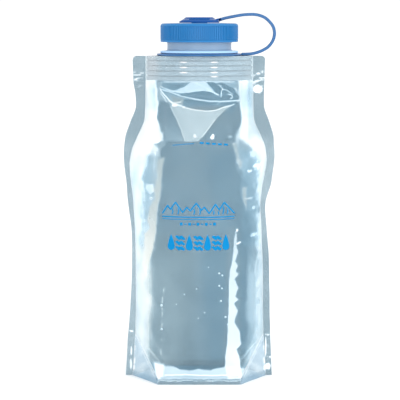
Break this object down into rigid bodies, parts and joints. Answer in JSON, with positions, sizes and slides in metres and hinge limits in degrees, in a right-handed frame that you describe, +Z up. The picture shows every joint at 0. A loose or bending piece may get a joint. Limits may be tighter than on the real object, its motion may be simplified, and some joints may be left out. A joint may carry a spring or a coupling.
{
  "type": "folding water bottle",
  "caption": "Clear film stand-up pouch bottle with folded base, wide threaded spout, ribbed screw cap and a looped plastic tether.",
  "frame": {"origin": "middle of the base, on the surface the full bottle stands on, under the neck's axis", "axes": "+Z up along the neck, +X along the side welds' width towards the tether's loop, the front panel faces -Y"},
  "size_m": [0.135, 0.0772, 0.3229],
  "materials": {
    "film_clear": "clear glossy laminate film",
    "film_weld": "welded film, hazier than the single ply",
    "natural_plastic": "natural translucent moulding",
    "blue_plastic": "satin moulding",
    "deep_blue_plastic": "satin moulding"
  },
  "bodies": {
    "pouch": {"front_film_panel": "film_clear", "back_film_panel": "film_clear", "left_side_weld": "film_weld", "right_side_weld": "film_weld", "base_gusset_film": "film_clear", "front_corner_welds": "film_weld", "back_corner_welds": "film_weld", "front_base_weld": "film_weld", "back_base_weld": "film_weld", "spout_weld_base": "natural_plastic", "spout_neck": "natural_plastic"},
    "tether_low": {"tether_neck_ring": "blue_plastic", "tether_strap": "blue_plastic"},
    "tether_top": {"tether_cap_ring": "blue_plastic"},
    "button": {"cap_button": "deep_blue_plastic"},
    "cap": {"closure_cap": "blue_plastic"}
  },
  "joints": [
    {"name": "cap_lift", "type": "slide", "parent": "pouch", "child": "button", "axis": [0, 0, 1], "range_m": [0, 0.0241]},
    {"name": "cap_turn", "type": "hinge", "parent": "button", "child": "cap", "pos_m": [0, 0, 0.3065], "axis": [0, 0, 1], "range_deg": [0, 1440]},
    {"name": "tether_swivel", "type": "hinge", "parent": "pouch", "child": "tether_low", "pos_m": [0, 0, 0.2868], "axis": [0, 0, 1], "continuous": true},
    {"name": "tether_lift", "type": "slide", "parent": "tether_low", "child": "tether_top", "axis": [0, 0, 1], "range_m": [0, 0.0241], "deforming": ["tether_strap"]}
  ],
  "couplings": [
    {"joint": "cap_lift", "follows": "cap_turn", "m_per_rad": 0.00095493},
    {"joint": "tether_lift", "follows": "cap_turn", "m_per_rad": 0.00095493}
  ]
}
